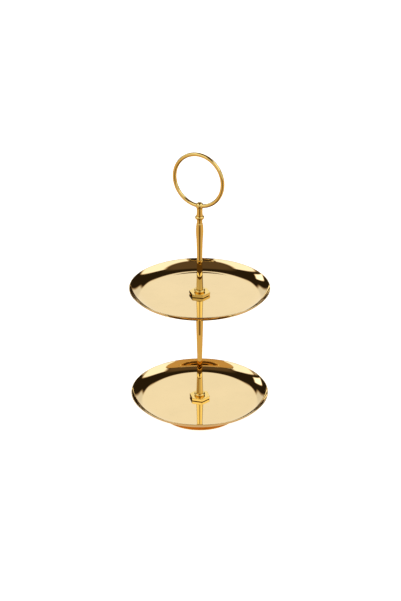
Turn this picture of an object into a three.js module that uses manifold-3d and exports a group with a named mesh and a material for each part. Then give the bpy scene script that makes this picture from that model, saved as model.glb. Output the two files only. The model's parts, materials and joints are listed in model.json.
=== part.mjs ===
// A two-tier cake stand: two shallow round plates on a turned post, with a spun foot below
// and a ring handle on top. Millimetres, +Z up, origin on the table at the centre of the foot.

import * as THREE from 'three';
import { mergeVertices } from 'three/addons/utils/BufferGeometryUtils.js';
import Module from 'manifold-3d';

const wasm = await Module();
wasm.setup();

// ---------- Driving dimensions ----------

// Clearances: between faces that touch, and round a shaft or a wire in its hole.
const seat = 0.05;
const clearance = 0.3;

// Plates: spun sheet, a flat floor and a wall that curves up from it to a flared rim.
const plateDiameter = 180;
const plateDepth = 11;
const plateThickness = 1;
const wallRadius = 26;
const wallSlope = 52;
const tierSpacing = 150.8;

// Foot: a spun skirt with a flat flange brazed under the plate and an out-turned lip.
const footDiameter = 103;
const footHeight = 19;
const footThickness = 1.2;
const footNeck = 88;
const footFlange = 76;
const footShoulderRadius = 4;
const footSweepRadius = 6;
const footLip = 2.5;

// Screw threads, drawn plain: the post is held by M6, the handle by M5.
const postThread = 6;
const handleThread = 5;
const threadDepth = 0.2;
const baseScrewGrip = 10;
const joiningStudGrip = 10;
const joiningStudRoot = 14;
const handleStudGrip = 7.2;
const handleStudRoot = 12;
const holeSpare = 1.5;

// Base screw head, with a straight slot.
const screwHeadDiameter = 12;
const screwHeadHeight = 3.4;
const screwSlotWidth = 1.3;
const screwSlotDepth = 1.5;

// Washers under the plates and the thin gasket above each.
const washerDiameter = 20;
const washerThickness = 1;
const rubberDiameter = 22;
const rubberThickness = 1;
const gasketDiameter = 18;
const gasketThickness = 0.5;

// Hexagonal grips and the beads above them.
const hexAcrossCorners = 27;
const hexThickness = 3.6;
const hexBevel = 0.35;
const lowerHexTurn = 14;
const upperHexTurn = 18;
const collarDiameter = 14;
const collarThickness = 3.6;
const spigotDiameter = 8.4;

// Post rods: [diameter, share of the rod's height above the collar] up the outside of each.
const lowerRodOutline = [
  [9, 0], [8.2, 0.085], [7.2, 0.215], [6.7, 0.36], [7.1, 0.437],
  [7.9, 0.544], [8.7, 0.651], [9.3, 0.744], [9.7, 0.887],
];
const lowerRodTop = 9.2;
const upperRodOutline = [
  [9, 0], [8.2, 0.113], [7.3, 0.293], [6.95, 0.474], [7.2, 0.586],
  [8.2, 0.744], [9.1, 0.817], [9.5, 0.891], [8.8, 0.958],
];
const upperRodTop = 7.6;
const upperRodHeight = 90.7;

// Handle: a bead on a short neck, a ball on a waisted neck, and the ring through the ball.
const beadDiameter = 11.5;
const beadThickness = 5.4;
const beadNeckDiameter = 7;
const beadNeckHeight = 4.7;
const ballDiameter = 9.9;
const ballHeight = 12.5;
const ballNeckFoot = 8;
const ballNeckWaist = 7.4;
const ballNeckStep = 1.1;
const ringRadius = 33.5;
const ringWire = 4.9;
const ringYaw = -28.2;
const ringLean = 3;

// Fineness of the round pieces.
const plateSegments = 60;
const footSegments = 48;
const rodSegments = 24;
const smallSegments = 20;
const ringSegments = 52;
const wireSegments = 10;

// ---------- Heights, worked out from the table up ----------

const lowerPlateZ = footHeight + seat;
const upperPlateZ = lowerPlateZ + tierSpacing;
const gasketZ = plateThickness + seat;
const hexZ = gasketZ + gasketThickness + seat;
const collarZ = hexZ + hexThickness + seat;
const shoulderZ = collarZ + collarThickness + seat;
const spigotLength = shoulderZ - hexZ;

const rubberDrop = rubberThickness + seat;
const washerDrop = rubberDrop + washerThickness + seat;
const lowerRodTopZ = upperPlateZ - washerDrop - seat;
const upperRodTopZ = upperPlateZ + shoulderZ + upperRodHeight;
const beadZ = upperRodTopZ + seat;
const bossZ = beadZ + beadNeckHeight + beadThickness + seat;

const postScrewRadius = postThread / 2 - threadDepth / 2;
const postHoleRadius = postScrewRadius + clearance;
const handleStudRadius = handleThread / 2 - threadDepth / 2;
const handleHoleRadius = handleStudRadius + clearance;
const spigotHoleRadius = spigotDiameter / 2 + clearance;

// ---------- Shape helpers ----------

const radians = THREE.MathUtils.degToRad;

const arc = (r, z, radius, from, to, steps) =>
  Array.from({ length: steps + 1 }, (_, i) => {
    const angle = radians(from + (to - from) * i / steps);
    return [r + radius * Math.cos(angle), z + radius * Math.sin(angle)];
  });

// A section of [radius, height] points, given anticlockwise, turned about Z.
// It either starts and ends on the axis, or is closed here.
function turned(section, segments) {
  const points = section.map(([r, z]) => new THREE.Vector2(r, z));
  if (section[0][0] > 0) points.push(points[0].clone());
  return new THREE.LatheGeometry(points, segments).rotateX(Math.PI / 2);
}

// A sheet whose upper or outer face is given, with its thickness added on the other side.
function sheet(face, thickness, segments) {
  const back = face.map(([r, z], i) => {
    const [r0, z0] = face[Math.max(i - 1, 0)];
    const [r1, z1] = face[Math.min(i + 1, face.length - 1)];
    const length = Math.hypot(r1 - r0, z1 - z0);
    return [r + thickness * (z1 - z0) / length, z - thickness * (r1 - r0) / length];
  });
  return turned([...back, ...face.reverse()], segments);
}

// A washer or gasket that passes the post's screw.
const washer = (diameter, thickness) => turned([
  [postHoleRadius, 0],
  [diameter / 2, 0],
  [diameter / 2, thickness],
  [postHoleRadius, thickness],
], smallSegments);

// The rounded edge of a bead, from its lower to its upper face.
function beadEdge(diameter, thickness, z) {
  const half = thickness / 2;
  return arc(diameter / 2 - half, z + half, half, -90, 90, 6);
}

function solid(geometry) {
  const bare = geometry.clone();
  bare.deleteAttribute('normal');
  bare.deleteAttribute('uv');
  const merged = mergeVertices(bare, 1e-4);
  return new wasm.Manifold(new wasm.Mesh({
    numProp: 3,
    vertProperties: merged.attributes.position.array,
    triVerts: new Uint32Array(merged.index.array),
  }));
}

function geometryOf(cut) {
  const { vertProperties, triVerts } = cut.getMesh();
  const geometry = new THREE.BufferGeometry();
  geometry.setAttribute('position', new THREE.BufferAttribute(vertProperties, 3));
  geometry.setIndex(new THREE.BufferAttribute(triVerts, 1));
  geometry.computeVertexNormals();
  return geometry;
}

// ---------- Pieces ----------

function plate() {
  const slope = radians(wallSlope);
  const straight = (plateDepth - wallRadius * (1 - Math.cos(slope))) / Math.sin(slope);
  const reach = wallRadius * Math.sin(slope) + straight * Math.cos(slope);
  const floorRadius = plateDiameter / 2 - plateThickness * Math.sin(slope) - reach;
  const rim = [floorRadius + reach, plateThickness + plateDepth];
  const corner = arc(floorRadius, plateThickness + wallRadius, wallRadius, -90, wallSlope - 90, 5);
  return sheet([[postHoleRadius, plateThickness], ...corner, rim], plateThickness, plateSegments);
}

function foot() {
  const shoulderCentre = [footNeck / 2 - footShoulderRadius, footHeight - footShoulderRadius];
  const sweepCentre = [footDiameter / 2 - footLip, footThickness + footSweepRadius];
  const shoulder = arc(...shoulderCentre, footShoulderRadius, 90, 8, 4);
  const sweep = arc(...sweepCentre, footSweepRadius, 195, 270, 4);
  const lip = [footDiameter / 2, footThickness];
  return sheet([[footFlange / 2, footHeight], ...shoulder, ...sweep, lip], footThickness, footSegments);
}

function hexGrip() {
  const outline = new THREE.Shape();
  const radius = hexAcrossCorners / 2 - hexBevel;
  for (let i = 0; i < 6; i += 1) {
    const angle = radians(i * 60);
    const corner = [radius * Math.cos(angle), radius * Math.sin(angle)];
    if (i === 0) outline.moveTo(...corner);
    else outline.lineTo(...corner);
  }
  outline.closePath();
  outline.holes.push(new THREE.Path().absarc(0, 0, spigotHoleRadius + hexBevel, 0, 2 * Math.PI, true));
  return new THREE.ExtrudeGeometry(outline, {
    depth: hexThickness - 2 * hexBevel,
    bevelSize: hexBevel,
    bevelThickness: hexBevel,
    bevelSegments: 1,
    curveSegments: smallSegments / 2,
  }).translate(0, 0, hexBevel);
}

const collar = () => turned([
  [spigotHoleRadius, 0],
  ...beadEdge(collarDiameter, collarThickness, 0),
  [spigotHoleRadius, collarThickness],
], smallSegments);

// A rod from the foot of its spigot up: tapped at the bottom, and for a stud at the top.
function rod(outline, topDiameter, height, bottomGrip, topRadius, topRoot) {
  const top = spigotLength + height;
  const profile = [...outline, [topDiameter, 1]].map(
    ([diameter, share]) => new THREE.Vector2(diameter / 2, spigotLength + share * height),
  );
  const outside = new THREE.SplineCurve(profile).getPoints(14).map((p) => [p.x, p.y]);
  return turned([
    [0, bottomGrip + holeSpare],
    [postHoleRadius, bottomGrip + holeSpare],
    [postHoleRadius, 0],
    [spigotDiameter / 2, 0],
    [spigotDiameter / 2, spigotLength],
    ...outside,
    [topRadius, top],
    [topRadius, top - topRoot - holeSpare],
    [0, top - topRoot - holeSpare],
  ], rodSegments);
}

const lowerRod = () => rod(
  lowerRodOutline,
  lowerRodTop,
  lowerRodTopZ - lowerPlateZ - shoulderZ,
  baseScrewGrip,
  postHoleRadius,
  joiningStudRoot,
);

const upperRod = () => rod(
  upperRodOutline,
  upperRodTop,
  upperRodHeight,
  joiningStudGrip,
  handleHoleRadius,
  handleStudRoot,
);

const stud = (radius, from, to) => turned([
  [0, from],
  [radius - threadDepth, from],
  [radius, from + threadDepth],
  [radius, to - threadDepth],
  [radius - threadDepth, to],
  [0, to],
], smallSegments);

function baseScrew() {
  const headTop = lowerPlateZ - washerDrop - seat;
  const headFoot = headTop - screwHeadHeight;
  const rounding = screwHeadHeight * 0.6;
  const tip = lowerPlateZ + hexZ + baseScrewGrip;
  const head = arc(screwHeadDiameter / 2 - rounding, headFoot + rounding, rounding, -90, 0, 5);
  const body = turned([
    [0, headFoot],
    ...head,
    [screwHeadDiameter / 2, headTop],
    [postScrewRadius, headTop],
    [postScrewRadius, tip - threadDepth],
    [postScrewRadius - threadDepth, tip],
    [0, tip],
  ], smallSegments);
  const slot = new THREE.BoxGeometry(screwHeadDiameter * 1.5, screwSlotWidth, screwSlotDepth * 2)
    .translate(0, 0, headFoot);
  return geometryOf(solid(body).subtract(solid(slot)));
}

const handleBead = () => turned([
  [handleHoleRadius, 0],
  [beadNeckDiameter / 2, 0],
  [beadNeckDiameter / 2, beadNeckHeight],
  ...beadEdge(beadDiameter, beadThickness, beadNeckHeight),
  [handleHoleRadius, beadNeckHeight + beadThickness],
], smallSegments);

// The ring in the frame of its ball: it passes through the ball's centre and leans a little.
function ring(wire) {
  return new THREE.TorusGeometry(ringRadius, wire / 2, wireSegments, ringSegments)
    .rotateX(Math.PI / 2)
    .translate(0, 0, ringRadius)
    .rotateY(radians(-ringLean))
    .rotateZ(radians(ringYaw));
}

// The ball and its waisted neck in one piece, drilled for the stud and for the ring.
function handleBoss() {
  const ball = ballDiameter / 2;
  const neckTop = ballNeckWaist / 2 + 0.1;
  const join = -Math.sqrt(ball ** 2 - neckTop ** 2);
  const joinAngle = THREE.MathUtils.radToDeg(Math.atan2(join, neckTop));
  const waistZ = (ballNeckStep + ballHeight + join) / 2;
  const body = turned([
    [0, handleStudGrip + holeSpare / 2],
    [handleHoleRadius, handleStudGrip + holeSpare / 2],
    [handleHoleRadius, 0],
    [ballNeckFoot / 2, 0],
    [ballNeckFoot / 2, ballNeckStep],
    [ballNeckWaist / 2 + 0.1, ballNeckStep + 0.3],
    [ballNeckWaist / 2, waistZ],
    ...arc(0, ballHeight, ball, joinAngle, 90, 12).slice(0, -1),
    [0, ballHeight + ball],
  ], smallSegments);
  const tunnel = ring(ringWire + 2 * clearance).translate(0, 0, ballHeight);
  return geometryOf(solid(body).subtract(solid(tunnel)));
}

// ---------- Materials ----------

const gold = new THREE.MeshStandardMaterial({ color: 0xe8b84a, roughness: 0.08, metalness: 1 });
const deepGold = new THREE.MeshStandardMaterial({ color: 0xd99b2b, roughness: 0.12, metalness: 1 });
const steel = new THREE.MeshStandardMaterial({ color: 0xb9bcc0, roughness: 0.3, metalness: 1 });
const rubber = new THREE.MeshStandardMaterial({ color: 0x1b1b1c, roughness: 0.85, metalness: 0 });
const nylon = new THREE.MeshStandardMaterial({ color: 0xe9e6dc, roughness: 0.45, metalness: 0 });

// ---------- Assembly ----------

const cakeStand = new THREE.Group();

function place(name, geometry, material, z, turn = 0) {
  const mesh = new THREE.Mesh(geometry, material);
  mesh.name = name;
  mesh.position.z = z;
  mesh.rotation.z = radians(turn);
  cakeStand.add(mesh);
}

place('foot_ring', foot(), deepGold, 0);
place('base_screw', baseScrew(), steel, 0);
place('base_washer', washer(washerDiameter, washerThickness), steel, lowerPlateZ - washerDrop);
place('base_rubber_washer', washer(rubberDiameter, rubberThickness), rubber, lowerPlateZ - rubberDrop);
place('lower_plate', plate(), gold, lowerPlateZ);
place('lower_gasket', washer(gasketDiameter, gasketThickness), nylon, lowerPlateZ + gasketZ);
place('lower_hex_grip', hexGrip(), gold, lowerPlateZ + hexZ, lowerHexTurn - 90);
place('lower_collar', collar(), gold, lowerPlateZ + collarZ);
place('lower_rod', lowerRod(), gold, lowerPlateZ + hexZ);

const joiningStudFoot = lowerRodTopZ - joiningStudRoot;
const joiningStudTip = upperPlateZ + hexZ + joiningStudGrip;
place('joining_stud', stud(postScrewRadius, joiningStudFoot, joiningStudTip), steel, 0);
place('joint_washer', washer(washerDiameter, washerThickness), gold, upperPlateZ - washerDrop);
place('joint_rubber_washer', washer(rubberDiameter, rubberThickness), rubber, upperPlateZ - rubberDrop);
place('upper_plate', plate(), gold, upperPlateZ);
place('upper_gasket', washer(gasketDiameter, gasketThickness), nylon, upperPlateZ + gasketZ);
place('upper_hex_grip', hexGrip(), gold, upperPlateZ + hexZ, upperHexTurn - 90);
place('upper_collar', collar(), gold, upperPlateZ + collarZ);
place('upper_rod', upperRod(), gold, upperPlateZ + hexZ);

const handleStudFoot = upperRodTopZ - handleStudRoot;
const handleStudTip = bossZ + handleStudGrip;
place('handle_stud', stud(handleStudRadius, handleStudFoot, handleStudTip), steel, 0);
place('handle_bead', handleBead(), gold, beadZ);
place('handle_boss', handleBoss(), gold, bossZ);
place('ring_handle', ring(ringWire), gold, bossZ + ballHeight);

export default cakeStand;
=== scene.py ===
"""A two-tier cake stand in polished gold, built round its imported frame.

The file is laid out as an add-on: sizes and colours are property groups, each group of pieces is an
operator, and one panel lists them. Run as a script, it builds the whole scene.
"""

import json
import math

import bmesh
import bpy
from mathutils import Euler, Matrix, Vector


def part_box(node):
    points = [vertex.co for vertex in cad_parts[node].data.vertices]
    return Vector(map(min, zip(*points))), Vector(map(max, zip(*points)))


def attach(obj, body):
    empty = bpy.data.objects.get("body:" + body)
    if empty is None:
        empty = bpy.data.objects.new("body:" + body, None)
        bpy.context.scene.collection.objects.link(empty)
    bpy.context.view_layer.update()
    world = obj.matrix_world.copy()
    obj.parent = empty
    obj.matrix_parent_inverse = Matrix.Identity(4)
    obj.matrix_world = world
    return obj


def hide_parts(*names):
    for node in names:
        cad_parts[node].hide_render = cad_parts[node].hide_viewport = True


bl_info = {
    "name": "Two-tier cake stand",
    "version": (1, 0, 0),
    "blender": (4, 5, 0),
    "location": "3D View > Sidebar > Cake Stand",
    "description": "Builds a polished gold cake stand round its packed frame",
    "category": "Object",
}

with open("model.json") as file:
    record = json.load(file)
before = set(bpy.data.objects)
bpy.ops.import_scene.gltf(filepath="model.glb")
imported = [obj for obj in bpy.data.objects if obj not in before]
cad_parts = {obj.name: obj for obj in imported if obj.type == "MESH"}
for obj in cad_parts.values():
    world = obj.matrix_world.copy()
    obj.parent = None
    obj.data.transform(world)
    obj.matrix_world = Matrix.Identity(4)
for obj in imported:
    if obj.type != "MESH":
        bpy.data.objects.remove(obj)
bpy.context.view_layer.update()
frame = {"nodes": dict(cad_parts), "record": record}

MM = 0.001
DEGREES = 180 / math.pi

# Fineness of the meshes.
ON_AXIS = 1e-6
ROUND_SEGMENTS = 256
SMALL_SEGMENTS = 128
THREAD_SEGMENTS = 48
THREAD_ROWS = 10
SHARP_ANGLE = math.radians(38)
LONG_SPAN = 0.9 * MM
SUPPORT = 0.12 * MM

# Fits: the room round a thread or spigot, and the gap between stacked faces.
CLEARANCE = 0.3 * MM
SEAT_GAP = 0.05 * MM

# Hexagonal grips.
QUARTER = [math.radians(15 * step) for step in range(7)]
HEX_EDGE = 0.4 * MM
HEX_CORNER = 0.8 * MM

# Foot.
FOOT_SHOULDER = 4 * MM
FOOT_SWEEP = 6 * MM

# Screws and tapped holes; the thread's depth is a share of its pitch.
THREAD_DEPTH = 0.54
LOWER_TAP = 11.5 * MM
UPPER_TAP = 14 * MM
HEAD_RADIUS = 6 * MM
HEAD_EDGE = 0.3 * MM
PLAIN_SHANK = 0.5 * MM
SLOT_DEPTH = 1.5 * MM
SLOT_HALF_WIDTH = 0.65 * MM
PAST_HEAD = 3 * MM

# Handle: the bead, and the boss that carries the ball.
BEAD_NECK = 3.5 * MM
BEAD_HEIGHT = 5.4 * MM
BOSS_TAP = 8 * MM
BOSS_RADIUS = 4 * MM
BOSS_WAIST = 3.7 * MM
BOSS_STEP = 1.1 * MM

# Camera.
LENS = 87.47
CAMERA_PLACE = (1.07 * MM, -1.6834, 0.96965)
CAMERA_TILT = math.radians(64.37)

# The studio's lamps and panels, as seen from the stand: heading clockwise from straight behind it,
# half width, lowest and highest rise, softness of the edges (all in degrees), level and colour.
LAMPS = (
    (0, 180, 62, 95, 6, 0.11, "gloom"),
    (0, 26, 4, 29, 3, 0.82, "backdrop"),
    (0, 15, 4, 38, 3, 1.0, "backdrop"),
    (180, 112, -5, 24, 4, 0.75, "backdrop"),
    (180, 34, -5, 46, 5, 0.6, "backdrop"),
    (-110, 41, 27, 60, 3, 1.3, "lamps"),
    (107, 47, 25, 61, 3, 1.3, "lamps"),
    (-51, 8.5, 17, 35, 2, 1.7, "window"),
)

# The outside of each rod: its radius, and the share of its height above the collar.
LOWER_ROD = [
    (4.5, 0), (4.1, 0.085), (3.6, 0.215), (3.35, 0.36), (3.55, 0.437), (3.95, 0.544),
    (4.35, 0.651), (4.65, 0.744), (4.85, 0.887), (4.6, 1),
]
UPPER_ROD = [
    (4.5, 0), (4.1, 0.113), (3.65, 0.293), (3.475, 0.474), (3.6, 0.586), (4.1, 0.744),
    (4.55, 0.817), (4.75, 0.891), (4.4, 0.958), (3.8, 1),
]


# ---------------------------------------------------------------------------------------------
# Sizes and colours that a user would change


def length(name, description, default):
    return bpy.props.FloatProperty(
        name=name, description=description, default=default, min=0.0, unit="LENGTH"
    )


def tint(name, description, default):
    return bpy.props.FloatVectorProperty(
        name=name, description=description, default=default, size=3, min=0.0, max=1.0, subtype="COLOR"
    )


def share(name, description, default):
    return bpy.props.FloatProperty(
        name=name, description=description, default=default, min=0.0, max=1.0, subtype="FACTOR"
    )


class StandSizes(bpy.types.PropertyGroup):
    """Shapes of the pieces; their places and overall sizes come from the frame."""

    sheet: length("Plate sheet", "Thickness of the spun plates", 1.0 * MM)
    wall_radius: length("Wall radius", "Radius of a plate's wall as it curves up", 26.0 * MM)
    wall_slope: bpy.props.FloatProperty(
        name="Wall slope",
        description="How steep a plate's wall is at the rim",
        default=math.radians(52),
        subtype="ANGLE",
    )
    bore: length("Post bore", "Radius of the holes that the M6 screws pass through", 3.2 * MM)
    post_thread: length("Post thread", "Radius of the M6 screw and stud", 2.9 * MM)
    handle_thread: length("Handle thread", "Radius of the M5 handle stud", 2.4 * MM)
    post_pitch: length("Post pitch", "Pitch of the M6 threads", 1.0 * MM)
    handle_pitch: length("Handle pitch", "Pitch of the M5 threads", 0.8 * MM)
    foot_sheet: length("Foot sheet", "Thickness of the spun foot", 1.2 * MM)
    foot_neck: length("Foot neck", "Radius of the foot under the plate", 44.0 * MM)
    foot_flange: length("Foot flange", "Inner radius of the flange brazed to the plate", 38.0 * MM)
    foot_lip: length("Foot lip", "Width of the flat lip that stands on the table", 2.5 * MM)
    spigot: length("Spigot", "Radius of the rod's end inside its grip and collar", 4.2 * MM)
    edge: length("Edge rounding", "Small radius on the edges of the turned pieces", 0.25 * MM)
    ring_wire: length("Ring wire", "Thickness of the ring handle's wire", 4.9 * MM)
    ball: length("Ball", "Radius of the ball that holds the ring", 4.95 * MM)
    ring_yaw: bpy.props.FloatProperty(
        name="Ring yaw",
        description="Which way the ring faces",
        default=math.radians(-28.2),
        subtype="ANGLE",
    )
    ring_lean: bpy.props.FloatProperty(
        name="Ring lean",
        description="How far the ring leans in its ball",
        default=math.radians(3),
        subtype="ANGLE",
    )


class StandFinish(bpy.types.PropertyGroup):
    """Colours and polish of the finishes."""

    plate: tint("Plate gold", "Pale gold plating of the plates", (0.90, 0.72, 0.40))
    post: tint("Post gold", "Richer gold of the post and the handle", (0.95, 0.70, 0.24))
    foot: tint("Foot gold", "Gold plating of the foot", (0.90, 0.62, 0.24))
    steel: tint("Steel", "Zinc-plated screws, studs and washers", (0.62, 0.63, 0.66))
    rubber: tint("Rubber", "Black rubber washers", (0.018, 0.018, 0.02))
    nylon: tint("Nylon", "Milky nylon gaskets", (0.78, 0.75, 0.68))
    polish: share("Polish", "How mirror-like the gold is", 0.985)


class StandStage(bpy.types.PropertyGroup):
    """The studio round the stand."""

    floor: tint("Floor", "Pale floor", (0.86, 0.86, 0.86))
    # Painted reflection: the warm colour and brightness that the floor shows only in the gold's reflections,
    # in place of reflected gold light and the shade under the plates.
    painted_reflection_tint: tint("Table shine", "Colour of the floor as the gold reflects it", (1.0, 0.72, 0.42))
    painted_reflection_level: share("Shine level", "Brightness of the floor as the gold reflects it", 0.74)
    floor_glow: bpy.props.FloatProperty(
        name="Floor glow", description="Light that the floor adds", default=0.9, min=0.0
    )
    room_light: bpy.props.FloatProperty(
        name="Room light",
        description="Brightness of the studio's lamps and panels",
        default=1.0,
        min=0.0,
    )
    backdrop: tint("Backdrop", "Pale backdrop behind the stand", (1.0, 0.97, 0.94))
    lamps: tint("Lamps", "Soft lamps at both sides", (0.96, 0.98, 1.0))
    window: tint("Window", "Bluish window", (0.88, 0.94, 1.0))
    card_width: bpy.props.FloatProperty(
        name="Card width",
        description="Angle that the dark card fills",
        default=math.radians(56),
        subtype="ANGLE",
    )
    gloom_level: share("Gloom level", "Brightness of the unlit walls", 0.022)
    gloom: tint("Gloom", "Unlit walls and ceiling", (1.0, 0.62, 0.3))


# ---------------------------------------------------------------------------------------------
# Shader maths


class Value:
    """A number socket or link; an expression on values adds its Math nodes."""

    def __init__(self, shader, socket):
        self.shader = shader
        self.socket = socket

    def _math(self, operation, *others):
        inputs = dict(enumerate((self, *others)))
        return self.shader.node("ShaderNodeMath", {"operation": operation}, inputs)

    def __add__(self, other):
        return self._math("ADD", other)

    __radd__ = __add__

    def __sub__(self, other):
        return self._math("SUBTRACT", other)

    def __rsub__(self, other):
        return self.shader.node("ShaderNodeMath", {"operation": "SUBTRACT"}, {0: other, 1: self})

    def __mul__(self, other):
        return self._math("MULTIPLY", other)

    __rmul__ = __mul__

    def __mod__(self, other):
        return self._math("MODULO", other)

    def root(self):
        return self._math("SQRT")

    def size(self):
        return self._math("ABSOLUTE")

    def heading(self, ahead):
        """The angle of this number, to the right, against another, ahead."""
        return self._math("ARCTAN2", ahead)

    def arcsine(self):
        return self._math("ARCSINE")

    def between(self, low, high):
        """0 below low, 1 above high, and smooth between them."""
        settings = {"interpolation_type": "SMOOTHSTEP"}
        inputs = {"Value": self, "From Min": low, "From Max": high}
        return self.shader.node("ShaderNodeMapRange", settings, inputs)


class Shader:
    """A node tree, empty but for its output."""

    def __init__(self, tree, output):
        self.tree = tree
        tree.nodes.clear()
        self.output = tree.nodes.new(output)

    def node(self, kind, settings=None, inputs=None, out=0):
        """A node of a kind, with its settings set first, then its sockets; out picks its output."""
        made = self.tree.nodes.new(kind)
        for name, value in (settings or {}).items():
            setattr(made, name, value)
        for name, value in (inputs or {}).items():
            socket = made.inputs[name]
            if isinstance(value, Value):
                self.tree.links.new(value.socket, socket)
            else:
                socket.default_value = value
        return Value(self, made.outputs[out])

    def finish(self, value):
        self.tree.links.new(value.socket, self.output.inputs["Surface"])

    def place(self):
        """The point on the piece, in its own frame."""
        return self.node("ShaderNodeTexCoord", out="Object")

    def axes(self, vector):
        split = self.node("ShaderNodeSeparateXYZ", inputs={"Vector": vector}).socket.node
        return [Value(self, socket) for socket in split.outputs]

    def noise(self, vector, scale, detail=2.0, roughness=0.5):
        inputs = {"Vector": vector, "Scale": scale, "Detail": detail, "Roughness": roughness}
        return self.node("ShaderNodeTexNoise", inputs=inputs)

    def hairlines(self, vector, turn):
        """Scattered fine scratches, all one way."""
        stretched = {"Vector": vector, "Rotation": turn, "Scale": (25.0, 2600.0, 700.0)}
        lines = self.noise(self.node("ShaderNodeMapping", {}, stretched), 1.0, 2.0, 0.5)
        return lines.between(0.66, 0.74)

    def point(self, x, y, z):
        return self.node("ShaderNodeCombineXYZ", {}, {"X": x, "Y": y, "Z": z})

    def surface(self, inputs):
        self.finish(self.node("ShaderNodeBsdfPrincipled", {}, inputs))

    def mix(self, factor, one, other):
        settings = {"data_type": "RGBA"}
        inputs = {"Factor": factor, "A": one, "B": other}
        return self.node("ShaderNodeMix", settings, inputs, out="Result")


def rgba(colour, level=1.0):
    return (*(min(channel * level, 1.0) for channel in colour), 1.0)


# ---------------------------------------------------------------------------------------------
# Outlines, as (radius, height) points


def arc(r, z, radius, start, stop, steps=8):
    """Points of an arc about (r, z) between two angles in degrees."""
    angles = [math.radians(start + (stop - start) * step / steps) for step in range(steps + 1)]
    return [(r + radius * math.cos(angle), z + radius * math.sin(angle)) for angle in angles]


def eased(corners, radius, steps=5):
    """An outline with its corners rounded, but for its two ends."""
    points = [corners[0]]
    for before, corner, after in zip(corners, corners[1:], corners[2:]):
        corner = Vector(corner)
        back, ahead = Vector(before) - corner, Vector(after) - corner
        half_turn = back.angle(ahead) / 2
        run = min(radius / math.tan(half_turn), 0.45 * back.length, 0.45 * ahead.length)
        bend = run * math.tan(half_turn)
        inward = (back.normalized() + ahead.normalized()).normalized()
        middle = corner + inward * bend / math.sin(half_turn)
        start = corner + back.normalized() * run - middle
        stop = corner + ahead.normalized() * run - middle
        points += [tuple(middle + bend * start.slerp(stop, step / steps)) for step in range(steps + 1)]
    return [*points, corners[-1]]


def spline(points, steps=10):
    """A smooth curve through every point."""
    ends = [points[0], *points, points[-1]]
    curve = [points[0]]
    for before, start, stop, after in zip(ends, ends[1:], ends[2:], ends[3:]):
        for step in range(1, steps + 1):
            share_done = step / steps
            curve.append(
                tuple(
                    between_knots(a, b, c, d, share_done)
                    for a, b, c, d in zip(before, start, stop, after)
                )
            )
    return curve


def between_knots(before, start, stop, after, t):
    leave, arrive = (stop - before) / 2, (after - start) / 2
    cubic = 2 * start - 2 * stop + leave + arrive
    square = 3 * stop - 3 * start - 2 * leave - arrive
    return ((cubic * t + square) * t + leave) * t + start


def sheet(face, thickness):
    """A sheet's closed outline: its shown face, round edges, and its back at an even distance."""
    half = thickness / 2
    middle = []
    for index, point in enumerate(face):
        before, after = face[max(index - 1, 0)], face[min(index + 1, len(face) - 1)]
        along = (Vector(after) - Vector(before)).normalized()
        middle.append((Vector(point) + half * Vector((along.y, -along.x)), along))
    back = [tuple(point + half * Vector((along.y, -along.x))) for point, along in middle]
    edges = []
    for (point, along), side in ((middle[-1], 90), (middle[0], -90)):
        start = math.degrees(math.atan2(along.y, along.x)) + side
        edges.append(arc(point.x, point.y, half, start, start - 180)[1:-1])
    return [*face, *edges[0], *back[::-1], *edges[1]]


def supported(outline):
    """The outline with a point near each end of its long spans, so that their faces shade flat."""
    points = []
    for start, stop in zip(outline, outline[1:] + outline[:1]):
        points.append(start)
        span = (Vector(stop) - Vector(start)).length
        if span > LONG_SPAN:
            near = min(0.1, SUPPORT / span)
            points += [tuple(Vector(start).lerp(Vector(stop), at)) for at in (near, 1 - near)]
    return points


def bead_edge(radius, low, high):
    """A bead's round edge, from its lower face to its upper."""
    half = (high - low) / 2
    return arc(radius - half, low + half, half, -90, 90, 24)


# ---------------------------------------------------------------------------------------------
# Meshes


def ring_faces(rings):
    """Faces between each ring of vertices and the next, and from the last to the first."""
    faces = []
    for lower, upper in zip(rings, rings[1:] + rings[:1]):
        for index in range(len(lower)):
            after = (index + 1) % len(lower)
            face = list(dict.fromkeys((lower[index], lower[after], upper[after], upper[index])))
            if len(face) > 2:
                faces.append(face)
    return faces


def turned(outline, segments=ROUND_SEGMENTS, cut=None):
    """An outline turned about the post; its points on the axis become single vertices."""
    vertices = []
    rings = []
    for r, z in supported(outline):
        start = len(vertices)
        if r < ON_AXIS:
            rings.append([start] * segments)
            vertices.append((0.0, 0.0, z))
            continue
        rings.append(list(range(start, start + segments)))
        for turn in (index / segments for index in range(segments)):
            reach = cut(r, z, turn) if cut else r
            angle = 2 * math.pi * turn
            vertices.append((reach * math.cos(angle), reach * math.sin(angle), z))
    return vertices, ring_faces(rings)


def threaded(radius, pitch, low, high):
    """Points up a threaded length, and the cut that gives them a right-hand thread."""
    count = round((high - low) / pitch * THREAD_ROWS)
    rows = [(radius, low + (high - low) * row / count) for row in range(count + 1)]

    def cut(r, z, turn):
        if abs(r - radius) > ON_AXIS or not low < z < high:
            return r
        from_groove = abs((z / pitch - turn) % 1.0 - 0.5) * 2
        groove = min(max((0.875 - from_groove) / 0.625, 0.0), 1.0)
        run_out = min(1.0, (z - low) / pitch, (high - z) / pitch)
        return r - THREAD_DEPTH * pitch * groove * run_out

    return rows, cut


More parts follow.
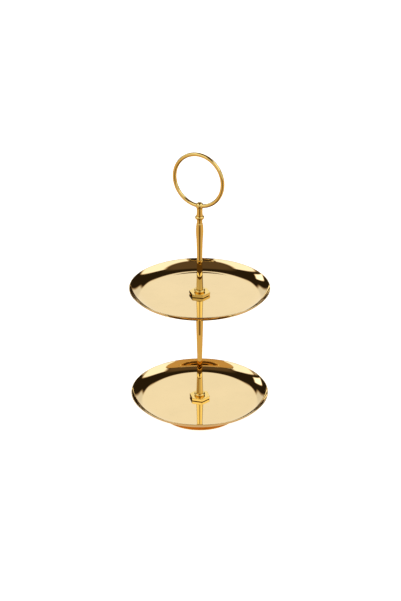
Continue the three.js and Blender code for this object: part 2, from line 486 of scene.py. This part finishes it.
def hex_grip(node, bore):
    """A hexagonal grip with softened corners and edges, and a round bore."""
    low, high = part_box(node)[0].z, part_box(node)[1].z
    places = [vertex.co.xy for vertex in frame["nodes"][node].data.vertices]
    widest = max(places, key=lambda place: place.length)
    turn = math.atan2(widest.y, widest.x)
    side = [(low + HEX_EDGE * (1 - math.cos(angle)), 1 - math.sin(angle)) for angle in QUARTER]
    rows = [(low, 1.3), *side, (low + 1.5 * HEX_EDGE, 0)]
    rows += [(low + high - z, inset) for z, inset in rows[::-1]]
    vertices = []
    rings = []
    for z, inset in rows:
        start = len(vertices)
        for corner in range(6):
            heading = turn + corner * math.pi / 3
            middle = (widest.length - HEX_CORNER) * Vector((math.cos(heading), math.sin(heading)))
            rounding = HEX_CORNER - inset * HEX_EDGE
            vertices += [(*point, z) for point in hex_corner(middle, heading, rounding)]
        rings.append(list(range(start, len(vertices))))
    angles = [math.atan2(y, x) for x, y, _ in vertices[: len(rings[0])]]
    for z in (high, low):
        rings.append(list(range(len(vertices), len(vertices) + len(angles))))
        vertices += [(bore * math.cos(angle), bore * math.sin(angle), z) for angle in angles]
    return vertices, ring_faces(rings)


def hex_corner(middle, heading, radius):
    """One rounded corner of a hexagon, with a point on the flat at each side of it."""
    points = []
    for step in range(-4, 5):
        angle = heading + math.radians(7.5 * step)
        point = middle + radius * Vector((math.cos(angle), math.sin(angle)))
        flat = SUPPORT * Vector((-math.sin(angle), math.cos(angle)))
        if step == -4:
            points.append(point - flat)
        points.append(point)
        if step == 4:
            points.append(point + flat)
    return points


def torus(radius, wire, around=288, across=48):
    """A ring of round wire in the XZ plane, about the origin."""
    vertices = []
    rings = []
    for step in range(around):
        turn = 2 * math.pi * step / around
        rings.append(list(range(len(vertices), len(vertices) + across)))
        for index in range(across):
            angle = 2 * math.pi * index / across
            reach = radius + wire * math.cos(angle)
            vertices.append((reach * math.cos(turn), wire * math.sin(angle), reach * math.sin(turn)))
    return vertices, ring_faces(rings)


def mesh_object(name, vertices, faces):
    mesh = bpy.data.meshes.new(name)
    mesh.from_pydata(vertices, [], faces)
    work = bmesh.new()
    work.from_mesh(mesh)
    bmesh.ops.recalc_face_normals(work, faces=work.faces)
    work.to_mesh(mesh)
    work.free()
    made = bpy.data.objects.new(name, mesh)
    bpy.context.scene.collection.objects.link(made)
    return made


def shade(made):
    mesh = made.data
    mesh.shade_smooth()
    mesh.set_sharp_from_angle(angle=SHARP_ANGLE)


def piece(node, vertices, faces):
    """A finished piece that stands for a node of the frame, on its body and in its finish."""
    made = mesh_object(f"fine_{node}", vertices, faces)
    shade(made)
    slot = next(part["material_slot"] for part in frame["record"]["subparts"] if part["node"] == node)
    body = next(name for name, nodes in frame["record"]["behaviour"]["bodies"].items() if node in nodes)
    made.data.materials.append(bpy.data.materials[f"{slot}_finish"])
    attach(made, body)
    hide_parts(node)
    return made


def cut_away(made, vertices, faces):
    """Cuts a shape out of a piece, and removes the shape."""
    cutter = mesh_object("cutter", vertices, faces)
    modifier = made.modifiers.new("Cut", "BOOLEAN")
    modifier.object = cutter
    modifier.solver = "EXACT"
    result = bpy.data.meshes.new_from_object(made.evaluated_get(bpy.context.evaluated_depsgraph_get()))
    made.modifiers.clear()
    before, made.data = made.data, result
    bpy.data.meshes.remove(before)
    bpy.data.objects.remove(cutter)
    shade(made)


def heights(node):
    """A node's lowest and highest point, and its radius."""
    low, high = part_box(node)
    return low.z, high.z, high.x


# ---------------------------------------------------------------------------------------------
# Finishes


def new_finish(name):
    material = bpy.data.materials.new(f"{name}_finish")
    material.use_nodes = True
    return Shader(material.node_tree, "ShaderNodeOutputMaterial")


def polished(name, colour, polish, spun):
    """Mirror plating: clouded a little in tone, with smears, hairlines and the marks of the lathe."""
    shader = new_finish(name)
    place = shader.place()
    x, y, z = shader.axes(place)
    radius = (x * x + y * y).root()
    cloud = shader.noise(place, 22.0, 3.0, 0.55)
    smear = shader.noise(place, 75.0, 5.0, 0.62).between(0.5, 0.72) * cloud.between(0.42, 0.62)
    hairs = shader.hairlines(place, (0.4, 0.2, 0.9)) + shader.hairlines(place, (1.1, 0.7, 2.3))
    rings = shader.noise(shader.point(radius, 0.0, z), 2600.0, 2.0, 0.6)
    ripple = shader.noise(shader.point(radius, 0.0, z), 160.0, 2.0, 0.5)
    tone = shader.mix(cloud.between(0.3, 0.7), rgba(colour), rgba(colour, 0.965))
    tone = shader.mix(smear * 0.25, tone, rgba(colour, 0.9))
    rough = smear * 0.03 + hairs * 0.03 + rings * (0.01 * spun) + (1.0 - polish)
    height = rings * (0.03 * spun) + ripple * (0.5 * spun) + cloud * 1.0
    bump = {"Strength": 1.0, "Distance": 0.002 * MM, "Height": height}
    normal = shader.node("ShaderNodeBump", {}, bump)
    shader.surface({"Base Color": tone, "Metallic": 1.0, "Roughness": rough, "Normal": normal})


def plated_steel(name, colour):
    """Bright zinc: turning marks round the post, with a faint spangle."""
    shader = new_finish(name)
    place = shader.place()
    x, y, z = shader.axes(place)
    radius = (x * x + y * y).root()
    marks = shader.noise(shader.point(radius, 0.0, z), 4200.0, 3.0, 0.7)
    spangle = shader.node("ShaderNodeTexVoronoi", {}, {"Vector": place, "Scale": 900.0}, out="Color")
    spangle = shader.axes(spangle)[0]
    tone = shader.mix(spangle * 0.6 + marks * 0.4, rgba(colour, 0.88), rgba(colour, 1.06))
    rough = marks * 0.16 + spangle * 0.08 + 0.2
    bump = {"Strength": 1.0, "Distance": 0.006 * MM, "Height": marks}
    normal = shader.node("ShaderNodeBump", {}, bump)
    shader.surface({"Base Color": tone, "Metallic": 1.0, "Roughness": rough, "Normal": normal})


def black_rubber(name, colour):
    """Moulded rubber: a fine grain and a pale bloom."""
    shader = new_finish(name)
    place = shader.place()
    grain = shader.noise(place, 3800.0, 3.0, 0.6)
    bloom = shader.noise(place, 160.0, 4.0, 0.6).between(0.45, 0.7)
    tone = shader.mix(bloom * 0.5, rgba(colour), rgba(colour, 2.6))
    bump = {"Strength": 1.0, "Distance": 0.03 * MM, "Height": grain}
    shader.surface(
        {
            "Base Color": tone,
            "Roughness": grain * 0.2 + bloom * 0.1 + 0.5,
            "Normal": shader.node("ShaderNodeBump", {}, bump),
        }
    )


def clear_nylon(name, colour):
    """Milky nylon sheet: cloudy inside, with the drag marks of its punch."""
    shader = new_finish(name)
    place = shader.place()
    x, y, z = shader.axes(place)
    cloud = shader.noise(place, 320.0, 3.0, 0.5)
    drag = shader.noise(shader.point(x * 0.15, y * 0.15, z), 6000.0, 2.0, 0.6)
    tone = shader.mix(cloud.between(0.35, 0.7), rgba(colour), rgba(colour, 0.88))
    bump = {"Strength": 1.0, "Distance": 0.008 * MM, "Height": drag}
    shader.surface(
        {
            "Base Color": tone,
            "Roughness": drag * 0.15 + 0.32,
            "Subsurface Weight": 0.3,
            "Subsurface Scale": 0.5 * MM,
            "Normal": shader.node("ShaderNodeBump", {}, bump),
        }
    )


def make_finishes():
    finish = bpy.context.scene.stand_finish
    polished("plate_gold", finish.plate, finish.polish, spun=1.0)
    polished("foot_gold", finish.foot, finish.polish, spun=1.0)
    polished("polished_gold", finish.post, finish.polish, spun=0.35)
    plated_steel("plated_steel", finish.steel)
    black_rubber("black_rubber", finish.rubber)
    clear_nylon("clear_nylon", finish.nylon)


# ---------------------------------------------------------------------------------------------
# Pieces


class BuildPlates(bpy.types.Operator):
    """Spins both plates: a flat floor, a rounded corner, a flared wall and a round edge."""

    bl_idname = "stand.build_plates"
    bl_label = "Plates"

    def execute(self, context):
        sizes = context.scene.stand_sizes
        slope = sizes.wall_slope
        half = sizes.sheet / 2
        for node in ("lower_plate", "upper_plate"):
            low, high, radius = heights(node)
            floor = low + sizes.sheet
            rim = (radius - half * (1 + math.sin(slope)), high - half * (1 - math.cos(slope)))
            straight = (rim[1] - floor - sizes.wall_radius * (1 - math.cos(slope))) / math.sin(slope)
            reach = sizes.wall_radius * math.sin(slope) + straight * math.cos(slope)
            centre = (rim[0] - reach, floor + sizes.wall_radius)
            corner = arc(*centre, sizes.wall_radius, -90, math.degrees(slope) - 90, 32)
            piece(node, *turned(sheet([(sizes.bore, floor), *corner, rim], sizes.sheet)))
        return {"FINISHED"}


class BuildFoot(bpy.types.Operator):
    """Spins the foot: a flange under the plate, a steep skirt, and a lip on the table."""

    bl_idname = "stand.build_foot"
    bl_label = "Foot"

    def execute(self, context):
        sizes = context.scene.stand_sizes
        low, high, radius = heights("foot_ring")
        lip = low + sizes.foot_sheet
        skirt = [
            *arc(sizes.foot_neck - FOOT_SHOULDER, high - FOOT_SHOULDER, FOOT_SHOULDER, 90, 8, 16),
            *arc(radius - sizes.foot_lip, lip + FOOT_SWEEP, FOOT_SWEEP, 195, 270, 16),
        ]
        face = [(sizes.foot_flange, high), *skirt, (radius - sizes.foot_sheet / 2, lip)]
        piece("foot_ring", *turned(sheet(face, sizes.foot_sheet)))
        return {"FINISHED"}


class BuildRods(bpy.types.Operator):
    """Turns the post's two rods, each with a spigot below and tapped at both ends."""

    bl_idname = "stand.build_rods"
    bl_label = "Rods"

    def execute(self, context):
        sizes = context.scene.stand_sizes
        for node, collar, outline, top_bore in (
            ("lower_rod", "lower_collar", LOWER_ROD, sizes.bore),
            ("upper_rod", "upper_collar", UPPER_ROD, sizes.handle_thread + CLEARANCE),
        ):
            low, high, _ = heights(node)
            shoulder = heights(collar)[1] + SEAT_GAP
            tall = high - shoulder
            knots = [(radius * MM, shoulder + share_up * tall) for radius, share_up in outline]
            outside = spline(knots, 12)[1:-1]
            foot, head = knots[0], knots[-1]
            edge = sizes.edge
            outline = eased(
                [
                    (0.0, low + LOWER_TAP),
                    (sizes.bore, low + LOWER_TAP),
                    (sizes.bore, low),
                    (sizes.spigot, low),
                    (sizes.spigot, shoulder),
                    (foot[0] - edge, shoulder),
                ],
                edge,
            )
            outline += arc(foot[0] - edge, shoulder + edge, edge, -90, 0, 5)[1:]
            outline += [point for point in outside if shoulder + 2 * edge < point[1] < high - 2 * edge]
            outline += arc(head[0] - edge, high - edge, edge, 0, 90, 5)
            tap = high - UPPER_TAP
            top = [(top_bore + edge, high), (top_bore, high - edge), (top_bore, tap), (0.0, tap)]
            outline += eased(top, edge)
            piece(node, *turned(outline, SMALL_SEGMENTS))
        return {"FINISHED"}


class BuildGrips(bpy.types.Operator):
    """Makes the hexagonal grips and the beads above them."""

    bl_idname = "stand.build_grips"
    bl_label = "Hexagonal grips and collars"

    def execute(self, context):
        sizes = context.scene.stand_sizes
        bore = sizes.spigot + CLEARANCE
        for tier in ("lower", "upper"):
            piece(f"{tier}_hex_grip", *hex_grip(f"{tier}_hex_grip", bore))
            low, high, radius = heights(f"{tier}_collar")
            outline = [(bore, low), *bead_edge(radius, low, high), (bore, high)]
            piece(f"{tier}_collar", *turned(outline, SMALL_SEGMENTS))
        return {"FINISHED"}


class BuildWashers(bpy.types.Operator):
    """Makes the washers and gaskets that clamp each plate."""

    bl_idname = "stand.build_washers"
    bl_label = "Washers and gaskets"

    def execute(self, context):
        sizes = context.scene.stand_sizes
        for node, rounding in (
            ("base_washer", 0.2), ("joint_washer", 0.3), ("base_rubber_washer", 0.45),
            ("joint_rubber_washer", 0.45), ("lower_gasket", 0.12), ("upper_gasket", 0.12),
        ):
            low, high, radius = heights(node)
            bore = sizes.bore
            start = ((radius + bore) / 2, low)
            corners = [start, (radius, low), (radius, high), (bore, high), (bore, low), start]
            piece(node, *turned(eased(corners, rounding * MM)[:-1], SMALL_SEGMENTS))
        return {"FINISHED"}


class BuildScrews(bpy.types.Operator):
    """Cuts the threads of the slotted base screw and of both studs."""

    bl_idname = "stand.build_screws"
    bl_label = "Screws and studs"

    def execute(self, context):
        sizes = context.scene.stand_sizes
        self.base_screw(sizes)
        for node, radius, pitch in (
            ("joining_stud", sizes.post_thread, sizes.post_pitch),
            ("handle_stud", sizes.handle_thread, sizes.handle_pitch),
        ):
            low, high, _ = heights(node)
            point = THREAD_DEPTH * pitch
            rows, cut = threaded(radius, pitch, low + point, high - point)
            outline = [(0.0, low), (radius - point, low), *rows, (radius - point, high), (0.0, high)]
            piece(node, *turned(outline, THREAD_SEGMENTS, cut))
        return {"FINISHED"}

    def base_screw(self, sizes):
        low, high, _ = heights("base_screw")
        head_top = heights("base_washer")[0] - SEAT_GAP
        radius, tall, thread = HEAD_RADIUS, head_top - low, sizes.post_thread
        point = THREAD_DEPTH * sizes.post_pitch
        rows, cut = threaded(thread, sizes.post_pitch, head_top + PLAIN_SHANK, high - point)
        rim = eased([(radius, low + 0.7 * tall), (radius, head_top), (thread, head_top)], HEAD_EDGE)
        outline = [
            (0.0, low),
            *arc(radius - 0.6 * tall, low + 0.6 * tall, 0.6 * tall, -90, 0, 12),
            *rim[1:],
            *rows,
            (thread - point, high),
            (0.0, high),
        ]
        made = piece("base_screw", *turned(outline, THREAD_SEGMENTS, cut))
        cut_away(made, *self.slot(low - PAST_HEAD, low + SLOT_DEPTH))

    def slot(self, low, high):
        """A block as wide as the slot and longer than the head, to cut out of it."""
        reach, half = HEAD_RADIUS + PAST_HEAD, SLOT_HALF_WIDTH
        plan = ((-reach, -half), (reach, -half), (reach, half), (-reach, half))
        vertices = [(x, y, z) for z in (low, high) for x, y in plan]
        ends = [[0, 1, 2, 3], [4, 5, 6, 7]]
        return vertices, ring_faces(ends)[:4] + ends


class BuildHandle(bpy.types.Operator):
    """Makes the bead, the ball on its waisted neck, and the ring through the ball."""

    bl_idname = "stand.build_handle"
    bl_label = "Handle"

    def execute(self, context):
        sizes = context.scene.stand_sizes
        self.bead(sizes)
        self.boss(sizes)
        self.ring(sizes)
        return {"FINISHED"}

    def bead(self, sizes):
        low, high, radius = heights("handle_bead")
        bore = sizes.handle_thread + CLEARANCE
        neck, bead_low = BEAD_NECK, high - BEAD_HEIGHT
        corners = [(bore, high), (bore, low), (neck, low), (neck, bead_low), (radius, bead_low)]
        outline = [*eased(corners, sizes.edge)[:-1], *bead_edge(radius, bead_low, high)]
        piece("handle_bead", *turned(outline, SMALL_SEGMENTS))

    def boss(self, sizes):
        low, high, _ = heights("handle_boss")
        bore, tap = sizes.handle_thread + CLEARANCE, low + BOSS_TAP
        step = low + BOSS_STEP
        waist_low = low + 2.6 * BOSS_STEP
        centre = high - sizes.ball
        join = math.degrees(math.acos((BOSS_WAIST + 0.1 * MM) / sizes.ball))
        corners = [
            (0.0, tap), (bore, tap), (bore, low), (BOSS_RADIUS, low), (BOSS_RADIUS, step),
            (BOSS_WAIST + 0.25 * MM, step), (BOSS_WAIST, waist_low),
        ]
        ball = arc(0.0, centre, sizes.ball, -join, 90, 48)[:-1]
        middle = (BOSS_WAIST - 0.05 * MM, (waist_low + ball[0][1]) / 2)
        neck = spline([corners[-1], middle, ball[0]], 8)
        outline = [*eased(corners, sizes.edge)[:-1], *neck, *ball[1:], (0.0, high)]
        piece("handle_boss", *turned(outline, SMALL_SEGMENTS))

    def ring(self, sizes):
        centre = heights("handle_boss")[1] - sizes.ball
        top = heights("ring_handle")[1]
        wire = sizes.ring_wire / 2
        radius = (top - centre - wire) / (1 + math.cos(sizes.ring_lean))
        pose = (
            Matrix.Translation((0, 0, centre))
            @ Matrix.Rotation(sizes.ring_yaw, 4, "Z")
            @ Matrix.Rotation(-sizes.ring_lean, 4, "Y")
            @ Matrix.Translation((0, 0, radius))
        )
        vertices, faces = torus(radius, wire)
        piece("ring_handle", [tuple(pose @ Vector(vertex)) for vertex in vertices], faces)


# ---------------------------------------------------------------------------------------------
# Studio


class BuildStage(bpy.types.Operator):
    """Sets the pale floor, which shows a painted warm reflection to the gold, the dark card on it, the
    studio's lamps and panels, and the camera.
    """

    bl_idname = "stand.build_stage"
    bl_label = "Studio"

    def execute(self, context):
        stage = context.scene.stand_stage
        context.scene.view_settings.view_transform = "Standard"
        self.floor(stage)
        self.card(stage)
        self.room(stage)
        self.camera(context)
        return {"FINISHED"}

    def floor(self, stage):
        shader = new_finish("pale_floor")
        cloud = shader.noise(shader.place(), 3.0, 3.0, 0.5)
        tone = shader.mix(cloud, rgba(stage.floor), rgba(stage.floor, 0.985))
        lit = {"Base Color": tone, "Roughness": 0.6, "Emission Color": rgba((1, 1, 1))}
        lit["Emission Strength"] = stage.floor_glow
        pale = shader.node("ShaderNodeBsdfPrincipled", {}, lit)
        # Painted reflection: in the gold's reflections the floor is a warm glow instead of the pale floor,
        # standing in for gold-tinted reflected light and the shade under the plates.
        painted_reflection_colour = shader.mix(cloud, rgba(stage.painted_reflection_tint), rgba(stage.painted_reflection_tint, 0.9))
        glow = {"Base Color": rgba((0, 0, 0)), "Roughness": 1.0, "Specular IOR Level": 0.0}
        glow |= {"Emission Color": painted_reflection_colour, "Emission Strength": stage.painted_reflection_level}
        shine = shader.node("ShaderNodeBsdfPrincipled", {}, glow)
        mirrored = shader.node("ShaderNodeLightPath", out="Is Glossy Ray")
        shader.finish(shader.node("ShaderNodeMixShader", {}, {0: mirrored, 1: pale, 2: shine}))
        reach, top, under = 6.0, -0.2 * MM, -20 * MM
        made = mesh_object("floor", *turned([(0.0, top), (reach, top), (reach, under), (0.0, under)]))
        made.data.materials.append(bpy.data.materials["pale_floor_finish"])

    def card(self, stage):
        """A dark card on the floor in front. Only reflections show it, as a dark line down each rod."""
        finish = new_finish("dark_card")
        grain = finish.noise(finish.place(), 6.0, 2.0, 0.5)
        tone = finish.mix(grain, rgba(stage.gloom, 0.3), rgba(stage.gloom, 0.25))
        finish.surface({"Base Color": tone, "Roughness": 0.8})
        half = stage.card_width / 2
        turns = [-math.pi / 2 + half * step / 8 for step in range(-8, 9)]
        vertices = []
        for reach in (0.2, 5.0):
            vertices += [(reach * math.cos(turn), reach * math.sin(turn), 1 * MM) for turn in turns]
        count = len(turns)
        faces = [(index, index + 1, count + index + 1, count + index) for index in range(count - 1)]
        made = mesh_object("card", vertices, faces)
        made.data.materials.append(bpy.data.materials["dark_card_finish"])
        made.visible_camera = made.visible_diffuse = made.visible_shadow = False

    def room(self, stage):
        """An unlit room with a backdrop, soft lamps at both sides and a window; the camera sees it white."""
        world = bpy.data.worlds.new("studio_room")
        bpy.context.scene.world = world
        world.use_nodes = True
        shader = Shader(world.node_tree, "ShaderNodeOutputWorld")
        x, y, z = shader.axes(shader.node("ShaderNodeTexCoord", out="Generated"))
        heading, rise = x.heading(y) * DEGREES, z.arcsine() * DEGREES
        colour, level = rgba(stage.gloom), stage.gloom_level
        for middle, wide, low, high, soft, lamp_level, lamp_colour in LAMPS:
            across = ((heading - middle + 540.0) % 360.0 - 180.0).size()
            shape = 1.0 - across.between(wide - soft, wide + soft)
            above = rise.between(high - soft, high + soft)
            shape = shape * rise.between(low - soft, low + soft) * (1.0 - above)
            colour = shader.mix(shape, colour, rgba(getattr(stage, lamp_colour)))
            level = (1.0 - shape) * level + shape * lamp_level
        seen = shader.node("ShaderNodeLightPath", out="Is Camera Ray")
        colour = shader.mix(seen, colour, rgba((1, 1, 1)))
        level = (1.0 - seen) * level * stage.room_light + seen
        shader.finish(shader.node("ShaderNodeBackground", {}, {"Color": colour, "Strength": level}))

    def camera(self, context):
        data = bpy.data.cameras.new("camera")
        data.lens = LENS
        made = bpy.data.objects.new("camera", data)
        made.location = CAMERA_PLACE
        made.rotation_euler = Euler((CAMERA_TILT, 0, 0))
        context.scene.collection.objects.link(made)
        context.scene.camera = made


class StandPanel(bpy.types.Panel):
    """Lists the stand's pieces in the order that they are built."""

    bl_idname = "VIEW3D_PT_cake_stand"
    bl_label = "Cake Stand"
    bl_space_type = "VIEW_3D"
    bl_region_type = "UI"
    bl_category = "Cake Stand"

    def draw(self, context):
        for name in SETTINGS:
            settings = getattr(context.scene, name)
            box = self.layout.box()
            for setting in settings.__annotations__:
                box.prop(settings, setting)
        for operator in OPERATORS:
            self.layout.operator(operator.bl_idname)


SETTINGS = {"stand_sizes": StandSizes, "stand_finish": StandFinish, "stand_stage": StandStage}
OPERATORS = (
    BuildStage, BuildPlates, BuildFoot, BuildRods, BuildGrips, BuildWashers, BuildScrews, BuildHandle,
)


def register():
    for group in (*SETTINGS.values(), *OPERATORS, StandPanel):
        bpy.utils.register_class(group)
    for name, group in SETTINGS.items():
        setattr(bpy.types.Scene, name, bpy.props.PointerProperty(type=group))


def unregister():
    for name in SETTINGS:
        delattr(bpy.types.Scene, name)
    for group in (StandPanel, *reversed(OPERATORS), *reversed(SETTINGS.values())):
        bpy.utils.unregister_class(group)


def main():
    register()
    make_finishes()
    bpy.ops.stand.build_stage()
    bpy.ops.stand.build_plates()
    bpy.ops.stand.build_foot()
    bpy.ops.stand.build_rods()
    bpy.ops.stand.build_grips()
    bpy.ops.stand.build_washers()
    bpy.ops.stand.build_screws()
    bpy.ops.stand.build_handle()


if __name__ == "__main__":
    main()
